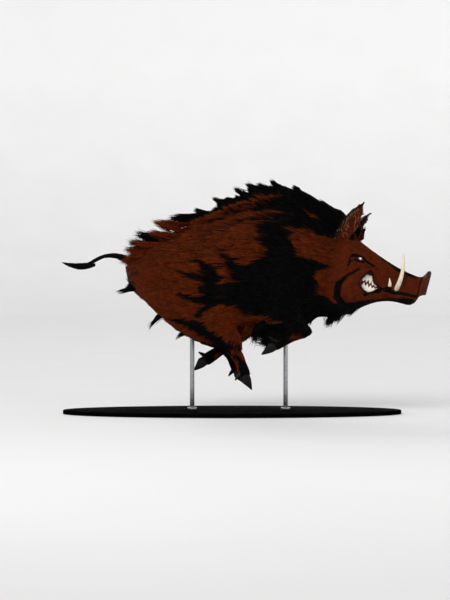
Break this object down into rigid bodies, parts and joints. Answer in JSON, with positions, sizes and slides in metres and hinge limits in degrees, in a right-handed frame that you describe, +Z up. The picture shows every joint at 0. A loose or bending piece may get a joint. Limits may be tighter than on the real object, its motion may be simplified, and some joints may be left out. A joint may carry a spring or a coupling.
{
  "type": "wild boar display model",
  "caption": "Life-size model of an adult male wild boar at full gallop, all feet off the ground, held on a flat oval base by short rods.",
  "frame": {"origin": "centre of the stand's flat underside, on the floor", "axes": "+X towards the snout, along the animal's length; +Y towards the animal's left side; +Z up"},
  "size_m": [1.8064, 0.52, 1.1389],
  "materials": {
    "coat_brown": "coarse dark red-brown winter coat of stiff bristles over hide",
    "coat_black": "coarse black bristles",
    "nose_skin": "bare, slightly moist skin of the snout's disc",
    "tusk_ivory": "worn, polished tusk",
    "horn": "worn black horn of the claws and dewclaws",
    "eye_glass": "dark brown glass eye",
    "stand_lacquer": "satin black lacquer",
    "stand_steel": "satin steel rod"
  },
  "bodies": {
    "root": {"claw_foreleg_left_left": "horn", "claw_foreleg_left_right": "horn", "claw_foreleg_right_left": "horn", "claw_foreleg_right_right": "horn", "claw_hindleg_left_left": "horn", "claw_hindleg_left_right": "horn", "claw_hindleg_right_left": "horn", "claw_hindleg_right_right": "horn", "dewclaw_foreleg_left_left": "horn", "dewclaw_foreleg_left_right": "horn", "dewclaw_foreleg_right_left": "horn", "dewclaw_foreleg_right_right": "horn", "dewclaw_hindleg_left_left": "horn", "dewclaw_hindleg_left_right": "horn", "dewclaw_hindleg_right_left": "horn", "dewclaw_hindleg_right_right": "horn", "ear_left": "coat_brown", "ear_right": "coat_brown", "eye_left": "eye_glass", "eye_right": "eye_glass", "foreleg_left_lower": "coat_black", "foreleg_left_upper": "coat_brown", "foreleg_right_lower": "coat_black", "foreleg_right_upper": "coat_brown", "head": "coat_brown", "hindleg_left_lower": "coat_black", "hindleg_left_upper": "coat_brown", "hindleg_right_lower": "coat_black", "hindleg_right_upper": "coat_brown", "lower_jaw": "coat_brown", "mane": "coat_black", "neck": "coat_brown", "snout": "nose_skin", "stand_base": "stand_lacquer", "stand_rod_front": "stand_steel", "stand_rod_rear": "stand_steel", "tail": "coat_black", "tail_tuft": "coat_black", "trunk": "coat_brown", "tusk_lower_left": "tusk_ivory", "tusk_lower_right": "tusk_ivory", "tusk_upper_left": "tusk_ivory", "tusk_upper_right": "tusk_ivory"}
  },
  "joints": []
}
